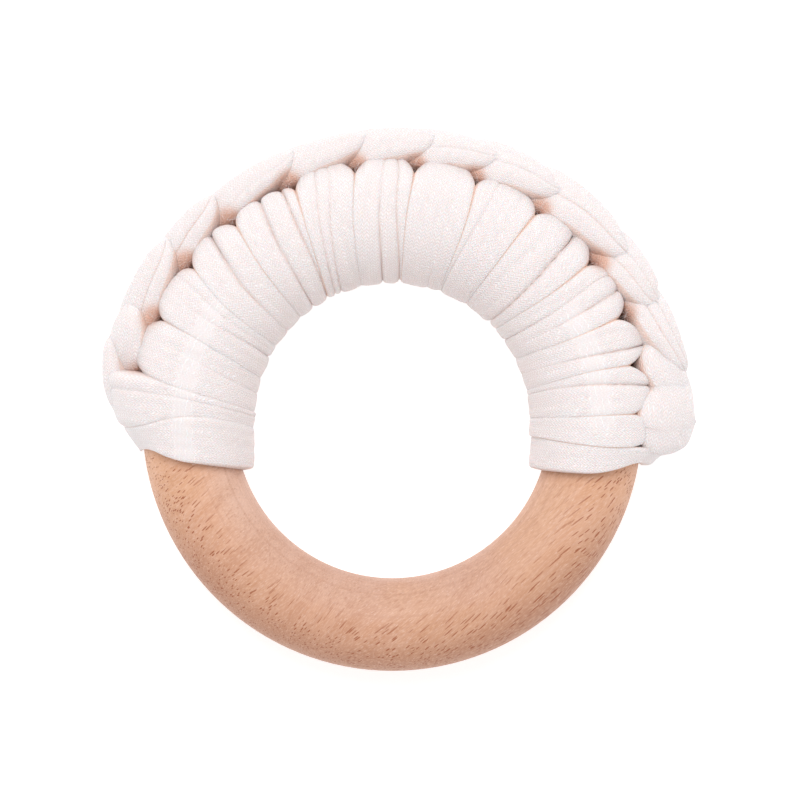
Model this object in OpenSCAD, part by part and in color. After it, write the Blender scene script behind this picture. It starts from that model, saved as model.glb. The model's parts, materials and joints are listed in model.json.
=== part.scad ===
// Teething ring: a turned beech ring with a cover of soft jersey yarn, crocheted
// tightly round a little more than half of it. The ring lies flat, its axis is +Z,
// and the origin is the ring's centre. Angles run anticlockwise from +X, and the
// stitches are numbered clockwise, in the order in which they were worked.

/* [Wooden ring] */
// Outer diameter of the wooden ring
ring_d = 70; // [60:1:80]
// Diameter of the ring's round section
section_d = 13; // [11:0.5:14]

/* [Crochet cover] */
// Number of stitches
stitch_count = 14; // [8:1:15]
// Angle from one stitch to the next
stitch_pitch = 13.4; // [12:0.1:13.6]
// Angle of the middle of the first stitch
first_stitch_angle = 172.6; // [170:0.1:176]
// Thickness of the yarn wrapped round the wood
wrap_t = 2.5; // [2:0.1:3]
// Radius of a stitch's round top
petal_r = 4.3; // [4.1:0.1:6]
// Gap between the wood and the yarn, which lets the cover slide round
slide_gap = 0.25; // [0.1:0.05:0.4]

/* [Chain edge] */
// Diameter of the yarn in the top loops, which lie in a chain along the outer edge
loop_d = 4.8; // [4:0.1:5.5]
// Height of each leg of a top loop above or below the mid-plane
leg_z = 2.1; // [1.8:0.1:2.3]
// Angle between a loop's end and the radius through it
loop_slant = 48; // [20:1:60]

/* [Ends of the cover] */
// Y of the edge of the plain band at the beginning, above the section's middle
start_edge_y = -5.5; // [-7:0.1:-4.5]
// Slope of that edge, falling towards the hole
start_edge_slope = 11.7; // [5:0.1:15]
// Y of the edge of the plain band at the finish, above the section's middle
finish_edge_y = -6.8; // [-8:0.1:-6.2]
// Slope of that edge, falling towards the hole
finish_edge_slope = 5.8; // [2:0.1:10]
// Height of the fastening-off knot
knot_h = 7.6; // [6:0.1:8]
// Length and width of the knot, seen from above
knot_d = 9.6; // [8:0.1:10.5]
// How far the knot stands out from the wrapped yarn
knot_proud = 4.7; // [3.5:0.1:5]
// Diameter of the yarn tails laid under the first and last stitches
tail_d = 1.6; // [1.2:0.1:1.8]
// Number of stitches that each tail runs under
tail_stitches = 3; // [2:1:5]

/* [Hidden] */
$fn = 64;
wood_colour = "#d8a685";
yarn_colour = "#f5e9e3";
big = 100;
section_r = section_d / 2;
mean_r = ring_d / 2 - section_r;
bore_r = section_r + slide_gap;
cover_r = section_r + wrap_t;
half_pitch = stitch_pitch / 2;
cover_start = first_stitch_angle + half_pitch;
cover_finish = stitch_angle(stitch_count) - half_pitch;
petal_centre = mean_r + cover_r - petal_r;
chain_r = mean_r + cover_r + loop_d / 2 - 1;
tail_offset = bore_r + tail_d / 2 - 0.15;
tail_angle = tail_stitches * stitch_pitch;
knot_outer_r = mean_r + cover_r + knot_proud;

STITCHES = [1:stitch_count];
// The last stitch's loop is drawn tight into the knot
LOOPS = [1:stitch_count - 1];

function numbered(name, i) = str(name, i < 10 ? "_0" : "_", i);
function stitch_angle(i) = first_stitch_angle - (i - 1) * stitch_pitch;

// A flat profile, drawn at its true distance from the axis, swept between two angles
module sweep(from, to) {
    rotate([0, 0, from]) rotate_extrude(angle = to - from) children();
}

// Profile of everything inside the cover's outer surface
module cover_profile() {
    translate([mean_r, 0]) circle(cover_r);
}

// Profile of the space for the wood
module bore_profile() {
    translate([mean_r, 0]) circle(bore_r);
}

// Profile of the wrapped yarn, with a channel where it lies over a tail
module wrap_profile(over_tail) {
    difference() {
        cover_profile();
        bore_profile();
        if (over_tail) tail_circle();
    }
}

// Profile of the two legs of a top loop, resting on the wrapped yarn
module loop_profile() {
    difference() {
        for (side = [-1, 1]) translate([chain_r, side * leg_z]) circle(d = loop_d);
        cover_profile();
    }
}

// Profile of the knot, resting on the wrapped yarn
module knot_profile() {
    difference() {
        translate([knot_outer_r - knot_h / 2, 0]) circle(d = knot_h);
        cover_profile();
    }
}

// Profile of a yarn tail, laid along the outside of the wood
module tail_circle() {
    translate([mean_r + tail_offset, 0]) circle(d = tail_d);
}

module tail_profile() {
    difference() {
        tail_circle();
        bore_profile();
    }
}

// Everything on one side of a band's sloping edge
module beyond_edge(side, edge_y, slope) {
    translate([side * mean_r, edge_y, 0])
        rotate([0, 0, side * slope])
            translate([0, -big / 2, 0])
                cube(big, center = true);
}

// Everything on one side of a top loop's slanting end: 1 is anticlockwise, -1 clockwise
module beside_end(i, side) {
    rotate([0, 0, stitch_angle(i) - half_pitch])
        translate([chain_r, 0, 0])
            rotate([0, 0, -loop_slant])
                translate([0, side * big / 2, 0])
                    cube(big, center = true);
}

// Everything inside the round top of a stitch, which lies along +X
module petal_limit() {
    translate([petal_centre - big / 2, 0, 0]) cube(big, center = true);
    translate([petal_centre, 0, 0]) cylinder(r = petal_r, h = big, center = true);
}

// The turned beech ring
module wooden_ring() {
    color(wood_colour) rotate_extrude() translate([mean_r, 0]) circle(section_r);
}

// The plain turns of yarn before the first stitch
module start_band() {
    color(yarn_colour)
        difference() {
            sweep(cover_start, 210) wrap_profile(false);
            beyond_edge(-1, start_edge_y, start_edge_slope);
        }
}

// The plain turns of yarn after the last stitch
module finish_band() {
    color(yarn_colour)
        difference() {
            sweep(-30, cover_finish) wrap_profile(false);
            beyond_edge(1, finish_edge_y, finish_edge_slope);
        }
}

// The yarn of one stitch, which goes round the wood and ends in a petal
module wrap(i) {
    over_tail = i <= tail_stitches || i > stitch_count - tail_stitches;
    color(yarn_colour)
        rotate([0, 0, stitch_angle(i)])
            intersection() {
                sweep(-half_pitch, half_pitch) wrap_profile(over_tail);
                petal_limit();
            }
}

// The loop at the top of one stitch, whose slanting end lies over the next one
module top_loop(i) {
    color(yarn_colour)
        difference() {
            sweep(stitch_angle(i) - stitch_pitch, stitch_angle(i) + stitch_pitch) loop_profile();
            beside_end(i, -1);
            beside_end(i - 1, 1);
        }
}

// The knot that fastens the yarn off at the last stitch
module finish_knot() {
    color(yarn_colour)
        difference() {
            rotate([0, 0, stitch_angle(stitch_count)])
                intersection() {
                    sweep(-stitch_pitch, stitch_pitch) knot_profile();
                    translate([knot_outer_r - knot_d / 2, 0, 0])
                        cylinder(d = knot_d, h = big, center = true);
                }
            beside_end(stitch_count - 1, 1);
        }
}

// The beginning of the yarn, crocheted over by the first stitches
module start_tail() {
    color(yarn_colour) sweep(cover_start - tail_angle, cover_start) tail_profile();
}

// The end of the yarn, drawn back under the last stitches
module finish_tail() {
    color(yarn_colour) sweep(cover_finish, cover_finish + tail_angle) tail_profile();
}

wooden_ring();
start_band();
finish_band();
for (i = STITCHES) wrap(i);
for (i = LOOPS) top_loop(i);
finish_knot();
start_tail();
finish_tail();
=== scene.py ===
"""Looks of a crocheted teething ring: a beech ring with jersey yarn worked in stitches round it.

Lengths are in millimetres and angles in degrees until a mesh is made. The cover's shapes are given
by turn, the angle round the ring, anticlockwise from +X, and by roll, the angle round the wood's
section: 0 at the outer edge, 90 at the front, 180 at the hole and 270 at the back.
"""
import json
import math
import random

import bpy
import numpy as np
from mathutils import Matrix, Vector

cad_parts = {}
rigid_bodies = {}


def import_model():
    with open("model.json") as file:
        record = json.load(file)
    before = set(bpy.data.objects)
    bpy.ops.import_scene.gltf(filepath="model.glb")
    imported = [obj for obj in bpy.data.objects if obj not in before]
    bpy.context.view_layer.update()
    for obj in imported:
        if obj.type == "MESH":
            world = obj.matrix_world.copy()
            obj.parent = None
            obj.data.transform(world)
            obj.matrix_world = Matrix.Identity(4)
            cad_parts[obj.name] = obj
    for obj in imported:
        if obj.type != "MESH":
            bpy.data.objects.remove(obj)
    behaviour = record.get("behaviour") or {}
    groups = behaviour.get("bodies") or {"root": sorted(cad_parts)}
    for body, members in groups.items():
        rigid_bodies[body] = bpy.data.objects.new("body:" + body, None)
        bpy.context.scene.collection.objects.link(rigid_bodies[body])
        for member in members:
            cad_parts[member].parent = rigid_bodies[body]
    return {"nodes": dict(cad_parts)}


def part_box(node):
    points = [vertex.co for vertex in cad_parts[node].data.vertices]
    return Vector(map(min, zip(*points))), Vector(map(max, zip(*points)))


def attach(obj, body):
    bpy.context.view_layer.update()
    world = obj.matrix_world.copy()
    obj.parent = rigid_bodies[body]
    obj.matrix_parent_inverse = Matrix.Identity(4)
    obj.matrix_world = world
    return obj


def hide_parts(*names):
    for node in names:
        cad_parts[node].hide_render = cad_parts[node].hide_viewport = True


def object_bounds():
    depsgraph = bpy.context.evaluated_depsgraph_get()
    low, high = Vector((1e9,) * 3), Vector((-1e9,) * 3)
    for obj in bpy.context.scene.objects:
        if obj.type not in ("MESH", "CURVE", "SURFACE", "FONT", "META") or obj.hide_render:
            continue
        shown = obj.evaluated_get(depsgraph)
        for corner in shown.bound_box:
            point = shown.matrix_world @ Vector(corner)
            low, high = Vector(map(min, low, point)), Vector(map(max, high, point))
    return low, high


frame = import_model()
cad_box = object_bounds()

MM = 0.001
_, wood_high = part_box("wooden_ring")
OUTER_R = wood_high.x / MM
SECTION_R = wood_high.z / MM
MEAN_R = OUTER_R - SECTION_R
REST = SECTION_R + 0.12  # where the yarn's underside lies
LIFT = 0.3  # how far a wrapped bundle's middle line is above that
WRAP_END = 342  # the roll at which a stitch's yarn ends, behind the chain
NECK_R = 32.8  # how far out a stitch begins to narrow to its round top
CORE_R = 37.5  # the middle of the chain
STRAND_FULLNESS = 2.3  # 2 is a round bundle of yarn, and more is a boxier one
WRINKLE = 0.06  # height of the fine wrinkles

# The seams between neighbouring turns of yarn, from the start of the cover to its finish: the turn
# of each one at the outer edge, at the front and at the hole
SEAMS = [
    (186.6, 191.8, 198.2), (181, 179, 183), (169.6, 172.3, 176.5), (156.2, 158, 162),
    (142.3, 146, 147.2), (128.5, 130.7, 131.3), (112.7, 114.5, 117.1), (98.5, 101.4, 103),
    (84.8, 86.2, 86), (70.5, 69.5, 70.3), (55.3, 56.4, 58), (38.6, 38.9, 41.7),
    (24.5, 24.6, 26.8), (13, 14, 12.8), (1.7, 1.4, 1), (-6, -7, -5.9), (-9.8, -15, -18.2),
]
# The round tops of the stitches from the second on: how far out each one reaches, its turn, how
# blunt it is, and how slowly it narrows
TOPS = [
    (37.9, 162.8, 3.2, 0.4), (37.2, 148, 3.2, 0.4), (37.2, 133, 3.2, 0.4), (36.8, 119.5, 3.6, 0.4),
    (37.7, 105, 3.4, 0.4), (37.8, 90.8, 3, 0.4), (37.7, 78, 3.2, 0.4), (37.3, 62.7, 4, 0.4),
    (37.5, 47.4, 3.4, 0.4), (37.2, 31, 3.0, 0.4), (37.5, 16.8, 1.9, 0.8), (37.1, 7.2, 1.6, 0.8),
    (36.9, -4, 1.8, 0.8),
]
# The folds along the same stitches: where each is across the stitch at its top and at the hole, from
# -1 on the anticlockwise side to 1, and how deep it is there, as a share of the yarn's thickness
FOLDS = [
    [(0.3, 0.1, 0, 0.12)],
    [(-0.15, 0.27, 0, 0.2), (0.5, 0.6, 0.1, 0.05)],
    [(0.05, 0, 0.5, 0.12)],
    [(-0.1, -0.05, 0.45, 0.25), (0.62, 0.85, 0.4, 0.2)],
    [(-0.3, -0.52, 0.14, 0.2), (0.15, -0.17, 0.14, 0.2)],
    [(-0.05, 0.06, 0.12, 0.3), (0.46, 0.8, 0.18, 0.25)],
    [(0.4, 0.3, 0.04, 0.08)],
    [(-0.4, -0.8, 0.1, 0.12)],
    [(0.2, 0.46, 0.6, 0.22)],
    [(-0.4, -0.2, 0.12, 0.16), (0.22, 0.3, 0.3, 0)],
    [(0.3, 0, 0.3, 0.05)],
    [(-0.2, -0.6, 0.3, 0.1)],
    [],
]
# The top loops from the second on, each one link of the chain along the outer edge: the turns of its
# start and end, how far out it reaches, how far in its tip is drawn, and its folds' place and depth
LOOPS = [
    (166.5, 156, 41.5, 0, []), (158.6, 141.3, 41.6, 0, [(0.3, 0.2)]),
    (142.8, 128.9, 41.3, 0, [(0.25, 0.25)]), (128.8, 110, 40.8, 0, [(0.4, 0.1)]),
    (113.6, 95.4, 40.9, 0, []), (97.4, 81.2, 41.2, 0.1, []), (84.8, 67.8, 41.5, 1.1, [(0.2, 0.1)]),
    (70.9, 53.7, 42.1, 1.7, [(0.1, 0.12)]), (56.3, 35.2, 42.6, 1.3, [(0.1, 0.2)]),
    (38.2, 24, 42.5, 0.7, [(0.35, 0.2), (-0.2, 0.12)]),
]
# The shape of such a loop from its start to its end: the share of its span, its inner edge's
# distance from the axis, its outer edge's from its reach, its height, and its top's outward lean
LOOP_SHAPE = [
    (-0.18, 35.2, -1.2, 0.8, 15), (-0.02, 35.0, -0.5, 1.9, 20), (0.2, 35.3, -0.3, 3.0, 24),
    (0.4, 35.8, -0.3, 3.5, 27), (0.65, 36.3, -0.3, 3.7, 29), (0.86, 37.1, -0.3, 3.5, 32),
    (1.04, 38.9, -0.3, 2.9, 36),
]
# The links at the two ends of the chain, and the knot that closes it, as rows of turn, distance
# from the axis, height, lean and half-width
END_LINKS = {
    "01": [(178, 36.4, 0.8, 30, 1.6), (175, 37.6, 1.8, 30, 2.1), (172, 38.7, 2.5, 30, 1.9),
           (169, 39.4, 2.8, 32, 1.5), (166.5, 39.8, 2.8, 34, 1.3), (164.5, 40.0, 2.6, 36, 1.2),
           (162.5, 40.1, 2.2, 40, 1.1)],
    "12": [(28.5, 38.5, 1.1, 20, 2.6), (25.5, 38.6, 2.4, 26, 3.1), (22, 38.9, 3.6, 30, 3.1),
           (18.5, 39.2, 4.2, 32, 2.8), (15, 39.7, 4.2, 34, 2.2), (12, 40.2, 3.8, 36, 1.6),
           (9, 40.7, 3.0, 38, 1.0)],
    "13": [(18.5, 38.2, 1.6, 24, 2.4), (15.5, 38.7, 2.9, 26, 2.6), (12.6, 38.2, 4.0, 27, 3.5),
           (10, 38.5, 4.2, 28, 3.1), (7.5, 39.0, 3.9, 30, 2.8), (5.2, 39.3, 3.2, 33, 2.4),
           (3.5, 39.6, 2.4, 36, 1.8)],
}
END_FOLDS = {"12": [(0.3, 0.2), (-0.25, 0.12)]}
KNOT = [(10.5, 38.4, 1.4, 30, 2.2), (8, 38.8, 2.8, 28, 2.9), (5, 38.7, 3.9, 26, 3.5),
        (1.5, 38.0, 4.6, 24, 4.6), (-1.5, 37.7, 4.4, 26, 4.3), (-4.0, 37.2, 4.0, 30, 3.9),
        (-6.6, 36.6, 3.0, 38, 2.8)]
# The pits between the chain and the stitches: the turn, the size and the strength of the
# painted shade of each
PITS = [
    (169.4, 1.9, 0.6), (156.6, 2.2, 0.85), (142.3, 2.1, 0.85), (129, 2.0, 0.8), (113.6, 2.1, 0.85),
    (97.8, 1.8, 0.8), (84.6, 1.7, 0.8), (71.2, 1.7, 0.8), (55, 1.9, 0.85), (37.8, 2.2, 0.95),
    (24.6, 1.8, 0.8), (12.5, 1.4, 0.6), (1.2, 1.1, 0.35), (-5.6, 1.1, 0.4),
]
PIT_R = 35.9
PIT_HEIGHT = 3.4
# The tails under the first and last stitches: the turns of their ends
TAILS = {"start_tail": (179.3, 139.1), "finish_tail": (31.9, -8.3)}
# The strips where the knit is pulled open: each one's turns, distance from the axis, and width
LADDERS = [(193, 144, 29, 2.9), (34, -4, 28.9, 3.1)]
# How far the last stitches lean out from the wood, to meet the knot
FLARES = {13: 0.3, 14: 0.8}
FIBRE_STEPS = 6  # rings of points along each loose fibre
PIT_FIBRE_R = 0.022
YARN_FIBRE_R = 0.015
PIT_FIBRES = 26  # on each side of the darkest pits
YARN_FIBRES = 60  # on each bundle of yarn
FLUFFY = ("stitch_", "top_loop_front_", "top_loop_back_", "knot_", "start_turns", "finish_turns")


# ---------------------------------------------------------------- shaping

def unit(v):
    return v / np.maximum(np.linalg.norm(v, axis=-1, keepdims=True), 1e-9)


def on_wood(turn, roll, rise):
    """Points at a turn, a roll and a distance from the middle of the wood's section."""
    turn, roll = np.radians(turn), np.radians(roll)
    r = MEAN_R + rise * np.cos(roll)
    return np.stack([r * np.cos(turn), r * np.sin(turn), rise * np.sin(roll)], -1)


def away_from_wood(turn, roll):
    """The directions from the middle of the wood's section outwards."""
    return on_wood(turn, roll, 10.0) - on_wood(turn, roll, 0.0)


def at_radius(turn, r, z):
    """Points at a turn, a distance from the ring's axis, and a height."""
    turn = np.radians(turn)
    return np.stack([r * np.cos(turn), r * np.sin(turn), z + 0 * turn], -1)


def smooth_curve(points, count):
    """A smooth line through the rows of points, as count rows."""
    p = np.array(points, float)
    p = np.vstack([2 * p[0] - p[1], p, 2 * p[-1] - p[-2]])
    t = np.linspace(0, len(p) - 3 - 1e-9, count)
    i = t.astype(int)
    f = (t - i)[:, None]
    a, b, c, d = p[i], p[i + 1], p[i + 2], p[i + 3]
    return 0.5 * (2 * b + (c - a) * f + (2 * a - 5 * b + 4 * c - d) * f**2
                  + (3 * b - a - 3 * c + d) * f**3)


def ease(value, low, high):
    """0 below low, 1 above high, and smooth between."""
    t = np.clip((value - low) / (high - low), 0, 1)
    return t * t * (3 - 2 * t)


def distance_along(points):
    return np.concatenate([[0], np.cumsum(np.linalg.norm(np.diff(points, axis=0), axis=1))])


def round_end(distance, length):
    """The rise of a rounded end from 0 to 1 over a length."""
    t = np.clip(distance / length, 0, 1)
    return np.sqrt(1 - (1 - t) ** 2)


def round_ends(distance, first, last):
    """The rise from almost 0 to 1 and back along a bundle, over a length at each of its ends."""
    return round_end(distance, first) * round_end(distance[-1] - distance, last) + 0.01


def column(values):
    """One value, or one for each row of points, ready to spread across the rows."""
    return np.reshape(values, (-1, 1))


def strand_tops(x, folds, fullness):
    """The height from 0 to 1 across a bundle of yarn at x, from -1 to 1, and how much painted shade
    each point gets in a fold or beside the edge. Each fold has its place and its depth along the
    bundle."""
    full = column(fullness)
    height = (1 - np.abs(x) ** full) ** (1 / full)
    crease = ease(np.abs(x), 0.88, 0.965)
    for place, depth in folds:
        away = np.abs(x - column(place))
        groove = 0.75 * np.exp(-away / 0.045) + 0.25 * np.exp(-(away / 0.2) ** 2)
        height = height * (1 - column(depth) * groove)
        crease = np.maximum(crease, np.clip(column(depth) * 2.5, 0, 0.55) * np.exp(-away / 0.05))
    return height, crease


def ripples(across, along, seed):
    """Fine wrinkles, most of them lengthwise, between about -1 and 1."""
    r = random.Random(seed)
    total = np.zeros_like(across)
    for _ in range(12):
        kx, ky = r.uniform(0.8, 4.5) * r.choice((-1, 1)), r.uniform(0.03, 0.45)
        total += np.sin(kx * across + ky * along + r.uniform(0, 6.28)) * r.uniform(0.4, 1)
    return total / 5


def add_values(mesh, name, values):
    attribute = mesh.attributes.new(name, "FLOAT", "POINT")
    attribute.data.foreach_set("value", values.astype(np.float32))


def ladders(points):
    """How far each point is in one of the strips where the knit is pulled open."""
    r = np.hypot(points[:, 0], points[:, 1])
    turn = np.degrees(np.arctan2(points[:, 1], points[:, 0])) % 360
    turn = np.where(turn > 300, turn - 360, turn)
    opened = np.zeros(len(points))
    for first, last, middle, width in LADDERS:
        ragged = 0.25 * np.sin(turn * 1.7 + middle) + 0.2 * np.sin(turn * 4.1)
        strip = 1 - ease(np.abs(r - middle + ragged), 0.35 * width, 0.6 * width)
        inside = ease(turn, last, last + 4) * (1 - ease(turn, first - 4, first))
        opened = np.maximum(opened, strip * inside)
    return opened * (points[:, 2] > 0)


def pit_shade_weight(points):
    """How much painted shade each point gets in the pits between the chain and the stitches,
    from 0 to 1.
    """
    depth = np.zeros(len(points))
    for turn, size, shade_strength in PITS:
        middle = at_radius(turn, PIT_R, PIT_HEIGHT)
        away = np.stack([points[:, 0] - middle[0], points[:, 1] - middle[1],
                         0.5 * (np.abs(points[:, 2]) - PIT_HEIGHT)], -1)
        depth = np.maximum(depth, shade_strength * np.exp(-(np.linalg.norm(away, axis=1) / size) ** 2))
    return depth


def yarn_mesh(name, centre, up, half_width, top, under, folds, seed, fullness=STRAND_FULLNESS,
              top_count=88, under_count=12, skew=None, edges=(1, 1), below=0.3, channel=False,
              tint=1.0, tip=None):
    """A closed, puffy bundle of yarn along a line of points, with its folds on the side that up
    points to. Its knit map holds the distance across and along, in millimetres. Edges says how much
    painted shade each edge gets, below how much painted shade the underside gets, and a channel
    gets painted shade near mid-height. Tint scales the painted shade in the folds and along the
    edges, and tip is how much painted shade each row gets near the yarn's tip."""
    n = len(centre)
    tangent = unit(np.gradient(centre, axis=0))
    side = unit(np.cross(tangent, up))
    up = np.cross(side, tangent)
    along = distance_along(centre)
    a = np.linspace(0, math.pi, top_count)
    x_top = -np.cos(a)[None, :] * np.ones((n, 1))
    height, crease = strand_tops(-x_top, folds, fullness)
    beside = ease(np.abs(x_top), 0.88, 0.965)
    crease = tint * np.maximum(crease - beside, beside * np.where(x_top < 0, edges[0], edges[1]))
    if skew is not None:
        height = height * (1 - column(skew) * x_top)
    b = np.linspace(0, math.pi, under_count + 2)[1:-1]
    x_under = np.cos(b)[None, :] * np.ones((n, 1))
    depth = np.sin(b)[None, :] ** 0.8 * np.ones((n, 1))
    x = np.hstack([x_top, x_under]) * column(half_width)
    y = np.hstack([height * column(top), -depth * column(under)])
    dist = along[:, None] * np.ones_like(x)
    fade = np.hstack([np.sin(a)[None, :] ** 0.5 * np.ones((n, 1)), np.zeros((n, under_count))])
    y += WRINKLE * ripples(x, dist, seed) * fade * column(np.clip(top / top.max(), 0, 1))
    points = centre[:, None, :] + side[:, None, :] * x[..., None] + up[:, None, :] * y[..., None]
    around = x.shape[1]
    verts = np.vstack([points.reshape(-1, 3), points[0].mean(0), points[-1].mean(0)])
    i, j = np.meshgrid(np.arange(n - 1), np.arange(around), indexing="ij")
    k = (j + 1) % around
    quads = np.stack([i * around + j, i * around + k,
                      (i + 1) * around + k, (i + 1) * around + j], -1)
    j = np.arange(around)
    k = (j + 1) % around
    last = (n - 1) * around
    caps = np.vstack([np.stack([k, j, np.full(around, n * around)], -1),
                      np.stack([last + j, last + k, np.full(around, n * around + 1)], -1)])
    mesh = bpy.data.meshes.new(name)
    mesh.from_pydata((verts * MM).tolist(), [], quads.reshape(-1, 4).tolist() + caps.tolist())
    mesh.update()
    girth = np.cumsum(np.linalg.norm(np.diff(np.stack([x, y], -1), axis=1), axis=-1), 1)
    girth = np.hstack([np.zeros((n, 1)), girth])
    girth -= girth[:, top_count // 2][:, None]
    closed = girth[:, -1] + np.hypot(x[:, 0] - x[:, -1], y[:, 0] - y[:, -1])
    uv = np.stack([girth, dist], -1).reshape(-1, 2)
    uv = np.vstack([uv, uv[0], uv[-1]])
    corners = np.empty(len(mesh.loops), np.int32)
    mesh.loops.foreach_get("vertex_index", corners)
    knit = uv[corners]
    closing = 4 * (np.arange(n - 1) * around + around - 1)
    knit[closing + 1, 0], knit[closing + 2, 0] = closed[:-1], closed[1:]
    layer = mesh.uv_layers.new(name="Knit")
    layer.data.foreach_set("uv", knit.astype(np.float32).ravel())
    # painted shade on the underside, and in the groove near mid-height where there is a channel
    crease = np.hstack([crease, np.full((n, under_count), below)]).ravel()
    if channel:
        crease = np.maximum(crease, 0.32 - 0.32 * ease(np.abs(verts[:-2, 2]), 0.1, 1.6))
    add_values(mesh, "crease", np.append(crease, [below, below]))
    add_values(mesh, "ladder", ladders(verts))
    # painted shade in the pits, near the yarn's tip, and along the inner edges beside a channel
    pit = pit_shade_weight(verts)
    if tip is not None:
        pit[:-2] = np.maximum(0.6 * pit[:-2], np.repeat(tip, around))
    if channel:
        inner = np.hstack([beside * np.where(x_top < 0, edges[0], edges[1]), 0 * x_under])
        pit[:-2] = np.maximum(pit[:-2], 0.2 * inner.ravel())
    add_values(mesh, "pit", pit)
    mesh.shade_smooth()
    piece = bpy.data.objects.new(name, mesh)
    bpy.context.scene.collection.objects.link(piece)
    return piece


# ---------------------------------------------------------------- materials

def new_material(name):
    material = bpy.data.materials.new(name)
    material.use_nodes = True
    tree = material.node_tree
    return material, tree, tree.nodes["Principled BSDF"]


class Graph:
    """Short calls for adding shader nodes and linking them."""

    def __init__(self, tree):
        self.tree = tree

    def add(self, kind, **settings):
        node = self.tree.nodes.new(kind)
        for key, value in settings.items():
            setattr(node, key, value)
        return node

    def put(self, socket, value):
        if isinstance(value, bpy.types.NodeSocket):
            self.tree.links.new(value, socket)
        else:
            socket.default_value = value

    def math(self, operation, *values):
        node = self.add("ShaderNodeMath", operation=operation)
        for socket, value in zip(node.inputs, values):
            self.put(socket, value)
        return node.outputs[0]

    def mix(self, factor, low, high):
        node = self.add("ShaderNodeMix", data_type="RGBA")
        self.put(node.inputs[0], factor)
        self.put(node.inputs[6], low)
        self.put(node.inputs[7], high)
        return node.outputs[2]

    def noise(self, vector, scale, detail=2.0):
        node = self.add("ShaderNodeTexNoise")
        self.put(node.inputs["Vector"], vector)
        node.inputs["Scale"].default_value = scale
        node.inputs["Detail"].default_value = detail
        return node.outputs["Fac"]

    def spread(self, value, low, high):
        """0 at low, 1 at high, and smooth between."""
        node = self.add("ShaderNodeMapRange", interpolation_type="SMOOTHSTEP")
        for socket, item in zip(node.inputs, (value, low, high)):
            self.put(socket, item)
        return node.outputs[0]

    def value_of(self, name):
        """A value that the mesh holds for each of its points."""
        return self.add("ShaderNodeAttribute", attribute_name=name).outputs["Fac"]


WALE = 0.7     # width of a column of knit stitches
COURSE = 0.4   # height of a row of them
LADDER = 0.62  # distance between the threads that cross an opened strip
GRAIN = 46     # direction of the wood's grain, from +X towards +Y
YARN = {
    "dull thread": (0.93, 0.875, 0.87, 1), "pale thread": (0.95, 0.905, 0.905, 1),
    "glint": (1, 0.98, 0.97, 1), "between threads": (0.82, 0.725, 0.70, 1),
    "ladder": (0.775, 0.72, 0.705, 1), "rung": (0.98, 0.955, 0.95, 1),
    # painted shade: warm in folds, along edges and underneath, then brown and dark in the pits
    "fold_shade": (0.88, 0.58, 0.44, 1), "pit": (0.74, 0.47, 0.37, 1),
    "deep pit shade": (0.50, 0.26, 0.19, 1),
}
WOOD = {
    "dark band": (0.58, 0.29, 0.172, 1), "pale band": (0.68, 0.37, 0.235, 1),
    "dark inside": (0.60, 0.36, 0.26, 1), "pale inside": (0.68, 0.44, 0.34, 1),
    "patch": (0.66, 0.36, 0.20, 1), "streak": (0.76, 0.49, 0.37, 1),
    # painted shade, for the side towards -Y, away from the light
    "low": (0.42, 0.20, 0.13, 1), "shaded_rim": (0.40, 0.175, 0.10, 1),
    "pale fibre": (0.82, 0.53, 0.37, 1), "dark fibre": (0.45, 0.20, 0.11, 1),
    "pale dash": (0.9, 0.70, 0.60, 1), "turning line": (0.45, 0.22, 0.14, 1),
    "fleck": (0.34, 0.10, 0.04, 1),
}


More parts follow.
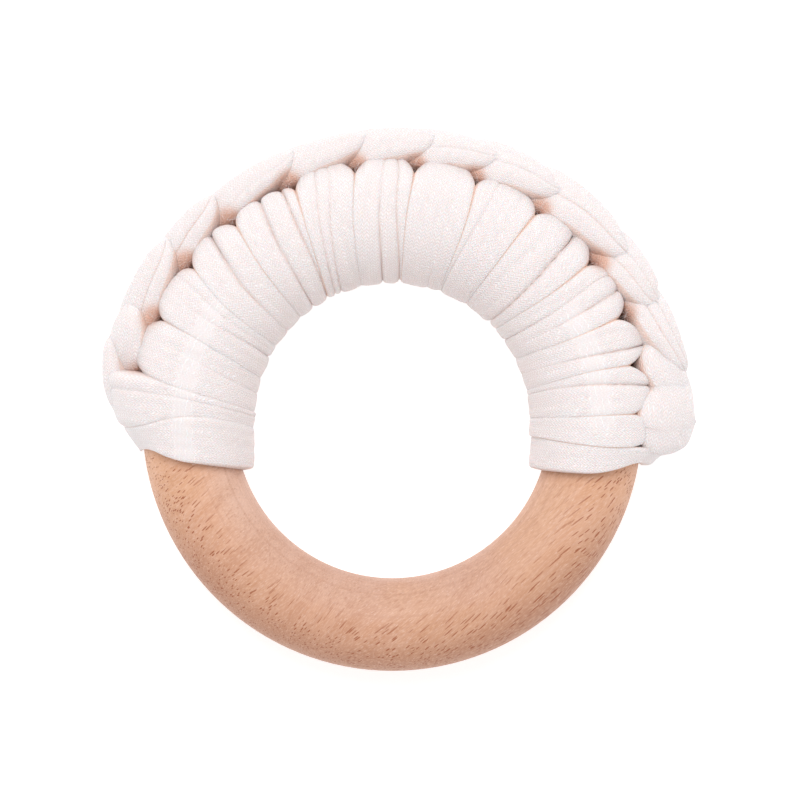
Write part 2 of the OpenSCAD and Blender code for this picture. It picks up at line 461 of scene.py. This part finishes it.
def yarn_material():
    """Cream cotton jersey: small knit stitches in columns along the yarn, with painted warm shade in
    its folds, along its edges and underneath, and painted brown shade in the pits.
    """
    material, tree, shader = new_material("jersey_yarn")
    g = Graph(tree)
    shader.inputs["Roughness"].default_value = 0.72
    shader.inputs["Specular IOR Level"].default_value = 0.35
    shader.inputs["Subsurface Weight"].default_value = 0.3
    shader.inputs["Subsurface Radius"].default_value = (1.0, 0.62, 0.5)
    shader.inputs["Subsurface Scale"].default_value = 0.9 * MM
    shader.inputs["Sheen Weight"].default_value = 0.2
    shader.inputs["Sheen Roughness"].default_value = 0.5
    shader.inputs["Sheen Tint"].default_value = (0.95, 0.97, 1, 1)
    uv = g.add("ShaderNodeUVMap", uv_map="Knit").outputs[0]
    split = g.add("ShaderNodeSeparateXYZ")
    g.put(split.inputs[0], uv)
    wobble = g.math("MULTIPLY", g.math("SUBTRACT", g.noise(uv, 0.9), 0.5), 0.5)
    across = g.math("ADD", split.outputs[0], wobble)
    along = g.math("ADD", split.outputs[1], wobble)
    wale = g.math("PINGPONG", across, WALE / 2)
    row = g.math("DIVIDE", g.math("ADD", along, wale), COURSE)
    wave = g.math("SINE", g.math("MULTIPLY", row, 2 * math.pi))
    leg = g.math("SINE", g.math("MULTIPLY", wale, 2 * math.pi / WALE))
    loop = g.math("MULTIPLY", g.math("MULTIPLY_ADD", wave, 0.5, 0.5),
                  g.math("MULTIPLY_ADD", leg, 0.7, 0.3))
    patchy = g.noise(uv, 0.5, 3.0)
    fibre = g.noise(uv, 5.0, 2.0)
    sparkle = g.spread(g.noise(uv, 2.2, 1.0), 0.5, 0.75)
    ladder = g.value_of("ladder")
    fold_shade = g.spread(g.value_of("crease"), 0.1, 0.75)
    thread = g.mix(g.spread(patchy, 0.3, 0.7), YARN["dull thread"], YARN["pale thread"])
    thread = g.mix(g.math("MULTIPLY", sparkle, 0.7), thread, YARN["glint"])
    ground = g.mix(loop, YARN["between threads"], thread)
    # in a ladder the knit is pulled open, and only a few threads cross it
    rung_place = g.math("ADD", split.outputs[1], g.math("MULTIPLY", wobble, 1.6))
    rung = g.spread(g.math("PINGPONG", rung_place, LADDER / 2), 0.4 * LADDER, 0.48 * LADDER)
    rung = g.math("MULTIPLY", rung, g.spread(g.noise(uv, 0.8, 1.0), 0.42, 0.52))
    opened = g.mix(rung, YARN["ladder"], YARN["rung"])
    cloth = g.mix(g.math("MULTIPLY", ladder, 0.65), ground, opened)
    # painted warm shade in the folds, along the edges, underneath and in the groove
    cloth = g.mix(g.math("MULTIPLY", fold_shade, 0.7), cloth, YARN["fold_shade"])
    # painted shade in the pits: warm brown, and dark at their bottom
    pit = g.value_of("pit")
    cloth = g.mix(g.spread(pit, 0.08, 0.65), cloth, YARN["pit"])
    cloth = g.mix(g.spread(pit, 0.7, 1.05), cloth, YARN["deep pit shade"])
    g.put(shader.inputs["Base Color"], cloth)
    knit = g.math("MULTIPLY_ADD", fibre, 0.5, loop)
    height = g.math("ADD", g.math("MULTIPLY", knit, g.math("SUBTRACT", 1.0, ladder)),
                    g.math("MULTIPLY", g.math("MULTIPLY_ADD", rung, 0.35, 0.5), ladder))
    bump = g.add("ShaderNodeBump")
    bump.inputs["Strength"].default_value = 0.8
    bump.inputs["Distance"].default_value = 0.12 * MM
    g.put(bump.inputs["Height"], height)
    g.put(shader.inputs["Normal"], bump.outputs[0])
    return material


def beech_material():
    """Raw beech: pinkish brown, with short dark flecks along the grain and faint turning lines, and
    painted shade that darkens it towards -Y, most at its outer edge.
    """
    material, tree, shader = new_material("beech")
    g = Graph(tree)
    shader.inputs["Specular IOR Level"].default_value = 0.28
    place = g.add("ShaderNodeVectorMath", operation="SCALE")
    g.put(place.inputs[0], g.add("ShaderNodeTexCoord").outputs["Object"])
    place.inputs["Scale"].default_value = 1 / MM
    place = place.outputs[0]
    split = g.add("ShaderNodeSeparateXYZ")
    g.put(split.inputs[0], place)
    x, y, z = split.outputs
    lean = math.radians(GRAIN)
    bend = g.math("MULTIPLY", g.math("SUBTRACT", g.noise(place, 0.045, 1.0), 0.5), 9.0)
    along = g.math("ADD", g.math("MULTIPLY", x, math.cos(lean)),
                   g.math("MULTIPLY", y, math.sin(lean)))
    across = g.math("SUBTRACT", g.math("MULTIPLY", y, math.cos(lean)),
                    g.math("MULTIPLY", x, math.sin(lean)))
    across = g.math("ADD", across, bend)

    def grain_space(length, width, depth, shift):
        point = g.add("ShaderNodeCombineXYZ")
        g.put(point.inputs[0], g.math("DIVIDE", g.math("ADD", along, shift), length))
        g.put(point.inputs[1], g.math("DIVIDE", across, width))
        g.put(point.inputs[2], g.math("DIVIDE", z, depth))
        return point.outputs[0]

    def flecks(length, width, depth, shift, size, share):
        cells = g.add("ShaderNodeTexVoronoi", feature="F1")
        g.put(cells.inputs["Vector"], grain_space(length, width, depth, shift))
        cells.inputs["Scale"].default_value = 1.0
        chosen = g.add("ShaderNodeSeparateColor")
        g.put(chosen.inputs[0], cells.outputs["Color"])
        dot = g.spread(cells.outputs["Distance"], size, 0.85 * size)
        return g.math("MULTIPLY", dot, g.math("LESS_THAN", chosen.outputs[0], share))

    outward = g.math("SQRT", g.math("ADD", g.math("MULTIPLY", x, x), g.math("MULTIPLY", y, y)))
    outer = g.spread(outward, MEAN_R - 3, MEAN_R + 3)
    bands = g.noise(grain_space(30.0, 2.6, 6.0, 0.0), 1.0, 3.0)
    streaks = g.noise(grain_space(5.0, 0.35, 0.6, 0.0), 1.0, 2.0)
    patches = g.noise(place, 0.07, 2.0)
    base = g.mix(g.spread(bands, 0.3, 0.7), WOOD["dark band"], WOOD["pale band"])
    inside = g.mix(g.spread(bands, 0.3, 0.7), WOOD["dark inside"], WOOD["pale inside"])
    base = g.mix(g.spread(outward, MEAN_R + 0.5, MEAN_R - 5.0), base, inside)
    base = g.mix(g.math("MULTIPLY", g.spread(patches, 0.45, 0.7), 0.5), base, WOOD["patch"])
    base = g.mix(g.math("MULTIPLY", g.spread(streaks, 0.35, 0.7), 0.35), base, WOOD["streak"])
    # painted shade: darker towards -Y, away from the light, and darkest at the outer edge there
    low = g.spread(y, -9.0, -22.0)
    base = g.mix(g.math("MULTIPLY", low, 0.3), base, WOOD["low"])
    shaded_rim = g.math("MULTIPLY", g.spread(outward, MEAN_R + 1.5, MEAN_R + 5.5), low)
    base = g.mix(g.math("MULTIPLY", shaded_rim, 0.6), base, WOOD["shaded_rim"])
    fine = g.noise(grain_space(0.7, 0.13, 0.25, 0.0), 1.0, 2.0)
    base = g.mix(g.math("MULTIPLY", g.spread(fine, 0.45, 0.7), 0.35), base, WOOD["pale fibre"])
    base = g.mix(g.math("MULTIPLY", g.spread(fine, 0.45, 0.25), 0.2), base, WOOD["dark fibre"])
    pale = flecks(0.9, 0.22, 0.5, 40.0, 0.26, 0.5)
    base = g.mix(g.math("MULTIPLY", pale, 0.2), base, WOOD["pale dash"])
    lines = g.add("ShaderNodeCombineXYZ")
    wavy = g.math("ADD", outward, g.math("MULTIPLY", bend, 0.05))
    g.put(lines.inputs[0], g.math("MULTIPLY", wavy, 3.4))
    g.put(lines.inputs[1], g.math("MULTIPLY", z, 2.0))
    lathe = g.spread(g.noise(lines.outputs[0], 1.0, 1.0), 0.52, 0.66)
    lathe = g.math("MULTIPLY", lathe, g.spread(outward, MEAN_R + 3, MEAN_R - 1))
    base = g.mix(g.math("MULTIPLY", lathe, 0.2), base, WOOD["turning line"])
    dark = g.math("MAXIMUM", flecks(5.2, 0.38, 0.55, 0.0, 0.26, 0.8),
                  flecks(3.4, 0.32, 0.5, 90.0, 0.24, 0.6))
    strength = g.math("MULTIPLY_ADD", outer, 0.7, 0.18)
    base = g.mix(g.math("MULTIPLY", dark, strength), base, WOOD["fleck"])
    g.put(shader.inputs["Base Color"], base)
    turned = g.add("ShaderNodeCombineXYZ")
    g.put(turned.inputs[0], g.math("MULTIPLY", outward, 2.6))
    g.put(turned.inputs[1], g.math("MULTIPLY", z, 2.6))
    turning = g.noise(turned.outputs[0], 1.0, 2.0)
    rough = g.math("MULTIPLY_ADD", streaks, 0.2, 0.38)
    g.put(shader.inputs["Roughness"], rough)
    height = g.math("ADD", g.math("MULTIPLY", turning, 0.8), g.math("MULTIPLY", streaks, 0.6))
    height = g.math("SUBTRACT", height, dark)
    bump = g.add("ShaderNodeBump")
    bump.inputs["Strength"].default_value = 0.5
    bump.inputs["Distance"].default_value = 0.05 * MM
    g.put(bump.inputs["Height"], height)
    g.put(shader.inputs["Normal"], bump.outputs[0])
    return material


yarn = yarn_material()
beech = beech_material()


def finish_yarn(piece, *nodes):
    piece.data.materials.append(yarn)
    if nodes:
        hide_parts(*nodes)
    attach(piece, "cover")


# ---------------------------------------------------------------- the cover

def make_seam(outer, front, hole, seed, wander):
    """A function that gives a seam's turn for any roll. Unseen at the back, it wanders a little."""
    r = random.Random(seed)
    back, end = outer + wander * r.uniform(-0.8, 0.8), outer + wander * r.uniform(-1, 1)
    line = smooth_curve([(-10, outer), (45, outer), (100, front), (180, hole),
                         (255, (hole + back) / 2), (310, end), (370, end)], 200)
    return lambda roll: np.interp(roll, line[:, 0], line[:, 1])


seams = [make_seam(*seam, 40 + number, 1 if 2 < number < len(SEAMS) - 2 else 0)
         for number, seam in enumerate(SEAMS)]


def make_wrap(number, top_shape, top_folds):
    """The yarn of a stitch, from its round top over the front, through the hole and up the back."""
    reach, tip, blunt, slow = top_shape
    flare = FLARES.get(number, 0)
    first_roll = math.degrees(math.acos(min(0.97, (reach - MEAN_R) / (9.4 + flare))))
    roll = np.linspace(first_roll, WRAP_END, 230)
    left, right = seams[number](roll), seams[number + 1](roll)
    rise = REST + 1.9
    radius = MEAN_R + rise * np.cos(np.radians(roll))
    end = np.clip((radius - NECK_R) / (radius.max() - NECK_R), 0, 1)
    end[roll > 180] = 0
    narrow = np.clip(1 - end ** blunt, 0, 1) ** slow
    left = tip + (left - tip) * narrow
    right = tip + (right - tip) * narrow
    turn = (left + right) / 2
    flare = flare * (1 - ease(np.minimum(roll, 360 - roll), 15, 62))
    centre = on_wood(turn, roll, REST + LIFT + flare)
    up = away_from_wood(turn, roll)
    flat = ease(roll, 35, 90) * (1 - ease(roll, 265, 320))
    half_width = radius * np.radians((left - right) / 2) * (1.04 + 0.02 * flat) + 0.03
    thick = 2.3 + 0.4 * np.exp(-((roll - 50) / 25) ** 2) + 0.1 * np.exp(-((roll - 180) / 30) ** 2)
    length = distance_along(on_wood(0 * turn, roll, rise + flare))
    top = thick * round_end(length, 2.0) * round_end(length[-1] - length, 2.0) + 0.03
    under = 0.25 * round_end(length, 1.0) * round_end(length[-1] - length, 1.0) + 0.02
    share = ease(roll, 45, 150)
    back = ease(roll, 190, 230)
    folds = []
    for at_top, at_hole, deep_top, deep_hole in top_folds:
        place = at_top + (at_hole - at_top) * share
        depth = deep_top + (deep_hole - deep_top) * share
        folds.append((place * (1 - back), depth * (1 - back) + 0.2 * back))
    # tip is painted shade near the round top, where the stitch meets the chain
    piece = yarn_mesh(f"stitch_{number:02d}", centre, up, half_width, top, under, folds, 99 + number,
                      fullness=(4.5 if number > 11 else 3.0) + 6 * flat,
                      tint=0.45 if number < 4 else 0.9,
                      tip=0.5 * (1 - ease(length, 0.5, 2.0)))
    finish_yarn(piece, f"wrap_{number:02d}")


def face(side):
    return "front" if side > 0 else "back"


def make_strand(name, rows, side, folds, seed, thick=2.0, ends=(1.6, 3.6)):
    """A strand through rows of turn, distance from the axis, height, lean of its top outwards and
    half-width. Side is 1 at the front and -1 at the back, and ends says how long its round ends are.
    """
    turn, r, z, tilt, wide = smooth_curve(rows, 120).T
    centre = at_radius(turn, r, side * z)
    lean = np.radians(tilt)
    up = at_radius(turn, np.sin(lean), side * np.cos(lean))
    length = distance_along(centre)
    rounded = round_ends(length, *ends)
    under = np.clip(z / np.cos(lean), 0.8, 5) * rounded
    pleats = [(-side * place, depth * ease(length, 1, 5)) for place, depth in folds]
    return yarn_mesh(name, centre, up, wide * rounded, thick * rounded, under, pleats, seed,
                     top_count=56, under_count=24, below=0, channel=True,
                     edges=(0, 0.5) if side > 0 else (0.5, 0))


def make_loop(number, loop, side, *nodes):
    """One leg of the loop at the top of a stitch."""
    start, end, reach, tuck, folds = loop
    span = start - end
    rows = []
    for share, inner, outer, z, tilt in LOOP_SHAPE:
        outer += reach - tuck * ease(share, 0.5, 1.04)
        inner -= 0.2 * tuck * ease(share, 0.5, 1.04)
        rows.append((start - share * span, (inner + outer) / 2, z, tilt, (outer - inner) / 2))
    piece = make_strand(f"top_loop_{face(side)}_{number:02d}", rows, side, folds,
                        298 + 2 * number + side)
    finish_yarn(piece, *nodes)


def make_end_link(number, side, *nodes):
    """One leg of a link at an end of the chain."""
    piece = make_strand(f"top_loop_{face(side)}_{number}", END_LINKS[number], side,
                        END_FOLDS.get(number, []), 300 + 2 * int(number) + side, ends=(1.6, 2.6))
    finish_yarn(piece, *nodes)


def make_knot(side, *nodes):
    """One half of the fastening-off knot, which closes the chain."""
    piece = make_strand(f"knot_{face(side)}", KNOT, side, [(-0.35, 0.08)], 401 + side, thick=2.5,
                        ends=(2.5, 2.5))
    finish_yarn(piece, *nodes)


def make_knot_middle():
    """The turn of yarn that ties the two halves of the knot together."""
    turn, r, _, _, wide = smooth_curve(KNOT, 100).T
    centre = at_radius(turn, r, 0)
    rounded = round_ends(distance_along(centre), 2.5, 3.0)
    piece = yarn_mesh("knot_middle", centre, at_radius(turn, 1, 0), 3.6 * rounded,
                      (wide - 0.4) * rounded, 2.0 * rounded, [(-0.2, 0.1), (0.35, 0.08)], 405,
                      below=0, edges=(0, 0))
    finish_yarn(piece)


def make_core():
    """The yarn inside the chain, which closes it between its front and its back."""
    turn = np.linspace(174, -4, 260)
    centre = at_radius(turn, CORE_R + 0.2 * np.sin(np.radians(turn * 27)), 0)
    rounded = round_ends(distance_along(centre), 2, 2)
    piece = yarn_mesh("chain_core", centre, at_radius(turn, 0, 1), 2.5 * rounded, 2.0 * rounded,
                      2.0 * rounded, [], 601, top_count=24, under_count=20, below=0.2,
                      channel=True, edges=(0.4, 0.4))
    finish_yarn(piece)


def make_tail(node, start, end):
    """A tail of yarn laid along the outside of the wood, under the stitches."""
    turn = np.linspace(start, end, 120)
    centre = at_radius(turn, MEAN_R + REST + 0.6, 0.25 * np.sin(np.radians(turn * 9)))
    rounded = round_ends(distance_along(centre), 1.0, 1.0)
    piece = yarn_mesh(f"{node}_yarn", centre, at_radius(turn, 1, 0), rounded, 0.6 * rounded,
                      0.5 * rounded, [], 701, top_count=24)
    finish_yarn(piece, node)


def make_band(name, first, seed, thick, bulge, skew, folds, *nodes):
    """Turns of yarn between a seam and the next, right round the wood. They bulge at the outer edge,
    where they meet the chain, and skew makes one side thicker there. The end of the turn lies just
    over its beginning."""
    roll = np.linspace(-5, 360.5, 240)
    left, right = seams[first](roll), seams[first + 1](roll)
    turn = (left + right) / 2
    centre = on_wood(turn, roll, REST + LIFT)
    up = away_from_wood(turn, roll)
    radius = MEAN_R + (REST + 1.5) * np.cos(np.radians(roll))
    half_width = radius * np.radians((left - right) / 2) * 1.09
    outside = ease(np.cos(np.radians(roll)), 0.3, 0.97)
    top = (thick + bulge * outside) * (0.96 + 0.04 * ease(roll, -5, 0))
    piece = yarn_mesh(name, centre, up, half_width, top, 0.25, folds, seed, 8 - 3 * outside,
                      skew=skew * (outside + 0.3 * (1 - outside)), tint=0.35)
    finish_yarn(piece, *nodes)


def add_fibre(verts, faces, root, aim, curl, radius):
    """Add a thin, closed, three-sided tube that starts at root and curls along aim."""
    side = unit(np.cross(aim, curl))
    other = unit(np.cross(aim, side))
    start = len(verts)
    for step in range(FIBRE_STEPS):
        t = step / (FIBRE_STEPS - 1)
        point = root + aim * t + curl * math.sin(math.pi * t)
        for corner in range(3):
            angle = 2 * math.pi * corner / 3
            verts.append((point + radius * (side * math.cos(angle) + other * math.sin(angle))) * MM)
    last = start + 3 * (FIBRE_STEPS - 1)
    for a in range(start, last, 3):
        faces += [(a, a + 1, a + 4, a + 3), (a + 1, a + 2, a + 5, a + 4), (a + 2, a, a + 3, a + 5)]
    faces += [(start + 2, start + 1, start), (last, last + 1, last + 2)]


def pit_fibres(r, verts, faces):
    """Loose fibres that stand in the pits between the chain and the stitches."""
    for turn, size, shade_strength in PITS:
        inward = at_radius(turn, 1, 0)
        cross = at_radius(turn + 90, 1, 0)
        for side in (1, -1):
            for _ in range(int(PIT_FIBRES * shade_strength)):
                spin, reach = r.uniform(0, 2 * math.pi), r.uniform(0.4, 0.85) * size
                away = inward * math.cos(spin) + cross * math.sin(spin)
                height = side * (PIT_HEIGHT + r.uniform(-0.5, 1.6))
                root = at_radius(turn, PIT_R, height) + away * reach
                aim = -away * r.uniform(0.3, 1.3) + np.array([0, 0, side * r.uniform(0.1, 1.2)])
                curl = np.array([r.uniform(-0.5, 0.5) for _ in range(3)])
                add_fibre(verts, faces, root, aim, curl, PIT_FIBRE_R)


def surface_fibres(r, verts, faces, piece):
    """Short loose fibres that stand out from a bundle of yarn."""
    mesh = piece.data
    places = np.empty(3 * len(mesh.vertices), np.float32)
    normals = np.empty(3 * len(mesh.vertices), np.float32)
    mesh.vertices.foreach_get("co", places)
    mesh.vertex_normals.foreach_get("vector", normals)
    places, normals = places.reshape(-1, 3) / MM, normals.reshape(-1, 3)
    for _ in range(YARN_FIBRES):
        pick = r.randrange(len(places))
        out = normals[pick]
        loose = np.array([r.uniform(-1, 1) for _ in range(3)])
        aim = out * r.uniform(0.1, 0.45) + unit(np.cross(out, loose)) * r.uniform(0.2, 0.8)
        add_fibre(verts, faces, places[pick] - 0.04 * out, aim, 0.2 * loose, YARN_FIBRE_R)


def make_fuzz():
    """All the loose fibres, as one piece."""
    r = random.Random(801)
    verts, faces = [], []
    pit_fibres(r, verts, faces)
    for piece in sorted(bpy.context.scene.objects, key=lambda piece: piece.name):
        if piece.name.startswith(FLUFFY):
            surface_fibres(r, verts, faces, piece)
    mesh = bpy.data.meshes.new("fuzz")
    mesh.from_pydata([tuple(v) for v in verts], [], faces)
    piece = bpy.data.objects.new("fuzz", mesh)
    bpy.context.scene.collection.objects.link(piece)
    finish_yarn(piece)


for stitch, (shape, folded) in enumerate(zip(TOPS, FOLDS), 2):
    make_wrap(stitch, shape, folded)
for stitch, loop in enumerate(LOOPS, 2):
    make_loop(stitch, loop, 1, f"top_loop_{stitch:02d}")
    make_loop(stitch, loop, -1)
for link in END_LINKS:
    make_end_link(link, 1, f"top_loop_{link}")
    make_end_link(link, -1)
make_knot(1, "finish_knot")
make_knot(-1)
make_knot_middle()
make_core()
make_band("start_turns", 0, 501, 1.95, -0.7, 0.95, [], "start_band")
make_band("stitch_01", 1, 101, 2.35, 2.0, 0.38, [(0.35, 0.08)], "wrap_01")
make_band("finish_turns", 15, 502, 1.9, 0.3, -0.5, [], "finish_band")
for tail, turns in TAILS.items():
    make_tail(tail, *turns)
make_fuzz()

ring = frame["nodes"]["wooden_ring"]
ring.data.materials.clear()
ring.data.materials.append(beech)
ring.data.shade_smooth()

# ---------------------------------------------------------------- stage

FLOOR_Z = cad_box[0][2] - 0.0008  # metres, just below the lowest loose fibre
FLOOR_HALF = 3  # metres
FRAME_WIDTH = 112.0  # width of the view at the ring's height
VIEW_CENTRE = (1.08, 2.93)
CAMERA_HEIGHT = 0.62  # metres
SENSOR = 36


def area_light(name, place, aim, size, power, colour):
    lamp = bpy.data.lights.new(name, "AREA")
    lamp.shape = "DISK"
    lamp.size = size
    lamp.energy = power
    lamp.color = colour
    thing = bpy.data.objects.new(name, lamp)
    thing.location = place
    thing.rotation_euler = (Vector(aim) - Vector(place)).to_track_quat("-Z", "Y").to_euler()
    bpy.context.scene.collection.objects.link(thing)


def make_stage():
    floor = bpy.data.objects.new("floor", bpy.data.meshes.new("floor"))
    corners = [(-1, -1), (1, -1), (1, 1), (-1, 1)]
    floor.data.from_pydata([(FLOOR_HALF * x, FLOOR_HALF * y, FLOOR_Z) for x, y in corners],
                           [], [(0, 1, 2, 3)])
    material, _, shader = new_material("pale_floor")
    shader.inputs["Base Color"].default_value = (0.8, 0.8, 0.8, 1)
    shader.inputs["Roughness"].default_value = 0.9
    shader.inputs["Emission Color"].default_value = (1, 1, 1, 1)
    shader.inputs["Emission Strength"].default_value = 0.5
    floor.data.materials.append(material)
    bpy.context.scene.collection.objects.link(floor)
    world = bpy.data.worlds.new("studio")
    world.use_nodes = True
    world.node_tree.nodes["Background"].inputs["Color"].default_value = (0.97, 0.98, 1, 1)
    world.node_tree.nodes["Background"].inputs["Strength"].default_value = 0.79
    bpy.context.scene.world = world
    area_light("softbox", (-0.04, 0.38, 0.8), (0, 0, 0), 0.5, 4.1, (0.99, 0.99, 1))


def make_camera():
    camera = bpy.data.objects.new("camera", bpy.data.cameras.new("camera"))
    camera.location = (VIEW_CENTRE[0] * MM, VIEW_CENTRE[1] * MM, CAMERA_HEIGHT)
    camera.data.sensor_width = SENSOR
    camera.data.lens = SENSOR * CAMERA_HEIGHT / (FRAME_WIDTH * MM)
    camera.data.clip_start = 0.01
    bpy.context.scene.collection.objects.link(camera)
    bpy.context.scene.camera = camera


make_stage()
make_camera()
bpy.context.scene.view_settings.view_transform = "Standard"
